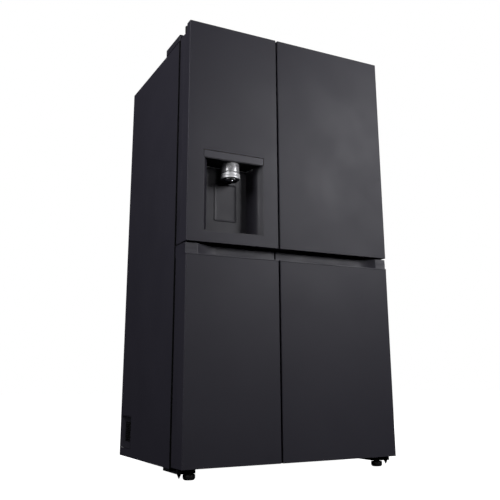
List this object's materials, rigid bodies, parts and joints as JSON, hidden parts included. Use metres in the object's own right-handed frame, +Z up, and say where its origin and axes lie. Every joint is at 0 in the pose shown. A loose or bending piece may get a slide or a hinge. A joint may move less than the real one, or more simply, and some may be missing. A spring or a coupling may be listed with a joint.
{
  "type": "four-door refrigerator",
  "caption": "Free-standing refrigerator-freezer: unequal columns, ice and water dispenser in one upper door, pocket handles on the lower doors.",
  "frame": {"origin": "on the floor under the middle of the overall box", "axes": "+X to the right seen from the front, +Y to the back, +Z up; the doors face -Y"},
  "size_m": [0.912, 0.735, 1.74],
  "materials": {
    "painted_body": "matt black powder coat with a fine texture",
    "dark_trim": "moulded dark plastic, fine grain",
    "dispenser_gloss": "smooth black panel",
    "liner_white": "white vacuum-formed plastic",
    "insulation_foam": "rigid polyurethane foam",
    "galvanised_steel": "galvanised sheet",
    "black_steel": "black painted steel",
    "seal_rubber": "soft grey seal",
    "foot_rubber": "black levelling foot",
    "roller_plastic": "black roller",
    "clear_plastic": "clear tinted plastic",
    "shelf_glass": "toughened glass",
    "evaporator_aluminium": "bare aluminium fins",
    "collar_chrome": "polished collar",
    "fan_plastic": "grey fan plastic",
    "compressor_paint": "black enamel"
  },
  "bodies": {
    "cabinet": {"cabinet_shell": "painted_body", "cabinet_insulation": "insulation_foam", "freezer_liner": "liner_white", "fridge_liner": "liner_white", "back_panel": "galvanised_steel", "front_frame": "painted_body", "base_frame": "galvanised_steel", "compressor": "compressor_paint", "condenser_coil": "black_steel", "fan_motors": "black_steel", "machine_cover": "dark_trim", "evaporator": "evaporator_aluminium", "evaporator_cover": "liner_white", "side_vents": "dark_trim", "power_inlet": "dark_trim", "water_valve": "fan_plastic", "upper_hinges": "black_steel", "hinge_covers": "dark_trim", "middle_hinges": "black_steel", "lower_hinges": "black_steel", "glass_shelves": "shelf_glass"},
    "upper_left_door": {"upper_left_door_skin": "painted_body", "upper_left_door_insulation": "insulation_foam", "upper_left_door_liner": "liner_white", "upper_left_door_gasket": "seal_rubber", "upper_left_door_frame": "dark_trim", "upper_left_door_bins": "clear_plastic", "dispenser_housing": "dark_trim", "dispenser_control_strip": "dispenser_gloss", "ice_chute": "dispenser_gloss", "nozzle_collar": "collar_chrome", "water_spout": "collar_chrome", "drip_tray": "dark_trim", "ice_bin": "clear_plastic"},
    "upper_right_door": {"upper_right_door_skin": "painted_body", "upper_right_door_insulation": "insulation_foam", "upper_right_door_liner": "liner_white", "upper_right_door_gasket": "seal_rubber", "upper_right_door_frame": "dark_trim", "upper_right_door_bins": "clear_plastic"},
    "lower_left_door": {"lower_left_door_skin": "painted_body", "lower_left_door_insulation": "insulation_foam", "lower_left_door_liner": "liner_white", "lower_left_door_gasket": "seal_rubber", "lower_left_door_frame": "dark_trim"},
    "lower_right_door": {"lower_right_door_skin": "painted_body", "lower_right_door_insulation": "insulation_foam", "lower_right_door_liner": "liner_white", "lower_right_door_gasket": "seal_rubber", "lower_right_door_frame": "dark_trim"},
    "paddle": {"dispenser_paddle": "dark_trim"},
    "crisper_upper": {"crisper_upper": "clear_plastic"},
    "crisper_lower": {"crisper_lower": "clear_plastic"},
    "freezer_drawer_upper": {"freezer_drawer_upper": "clear_plastic"},
    "freezer_drawer_lower": {"freezer_drawer_lower": "clear_plastic"},
    "condenser_fan": {"condenser_fan": "fan_plastic"},
    "evaporator_fan": {"evaporator_fan": "fan_plastic"},
    "rear_rollers": {"rear_rollers": "roller_plastic"},
    "front_foot_left": {"front_foot_left": "foot_rubber"},
    "front_foot_right": {"front_foot_right": "foot_rubber"}
  },
  "joints": [
    {"name": "upper_left_door_hinge", "type": "hinge", "parent": "cabinet", "child": "upper_left_door", "pos_m": [-0.444, -0.3129, 1.289], "axis": [0, 0, -1], "range_deg": [0, 115]},
    {"name": "upper_right_door_hinge", "type": "hinge", "parent": "cabinet", "child": "upper_right_door", "pos_m": [0.444, -0.3129, 1.289], "axis": [0, 0, 1], "range_deg": [0, 115]},
    {"name": "lower_left_door_hinge", "type": "hinge", "parent": "cabinet", "child": "lower_left_door", "pos_m": [-0.444, -0.3129, 0.4365], "axis": [0, 0, -1], "range_deg": [0, 115]},
    {"name": "lower_right_door_hinge", "type": "hinge", "parent": "cabinet", "child": "lower_right_door", "pos_m": [0.444, -0.3129, 0.4365], "axis": [0, 0, 1], "range_deg": [0, 115]},
    {"name": "paddle_press", "type": "hinge", "parent": "upper_left_door", "child": "paddle", "pos_m": [-0.25975, -0.278, 1.092], "axis": [1, 0, 0], "range_deg": [0, 4], "stiffness_Nm_per_rad": 0.6, "springref_deg": -8.59},
    {"name": "crisper_upper_slide", "type": "slide", "parent": "cabinet", "child": "crisper_upper", "axis": [0, -1, 0], "range_m": [0, 0.09]},
    {"name": "crisper_lower_slide", "type": "slide", "parent": "cabinet", "child": "crisper_lower", "axis": [0, -1, 0], "range_m": [0, 0.09]},
    {"name": "freezer_drawer_upper_slide", "type": "slide", "parent": "cabinet", "child": "freezer_drawer_upper", "axis": [0, -1, 0], "range_m": [0, 0.09]},
    {"name": "freezer_drawer_lower_slide", "type": "slide", "parent": "cabinet", "child": "freezer_drawer_lower", "axis": [0, -1, 0], "range_m": [0, 0.09]},
    {"name": "condenser_fan_spin", "type": "hinge", "parent": "cabinet", "child": "condenser_fan", "pos_m": [0.047, 0.23, 0.16], "axis": [1, 0, 0], "continuous": true},
    {"name": "evaporator_fan_spin", "type": "hinge", "parent": "cabinet", "child": "evaporator_fan", "pos_m": [-0.252, 0.268, 1.2], "axis": [0, 1, 0], "continuous": true},
    {"name": "rear_rollers_roll", "type": "hinge", "parent": "cabinet", "child": "rear_rollers", "pos_m": [0, 0.3005, 0.014], "axis": [1, 0, 0], "continuous": true},
    {"name": "front_foot_left_turn", "type": "hinge", "parent": "cabinet", "child": "front_foot_left", "pos_m": [-0.404, -0.3055, 0.02], "axis": [0, 0, 1], "continuous": true},
    {"name": "front_foot_right_turn", "type": "hinge", "parent": "cabinet", "child": "front_foot_right", "pos_m": [0.404, -0.3055, 0.02], "axis": [0, 0, 1], "continuous": true}
  ]
}
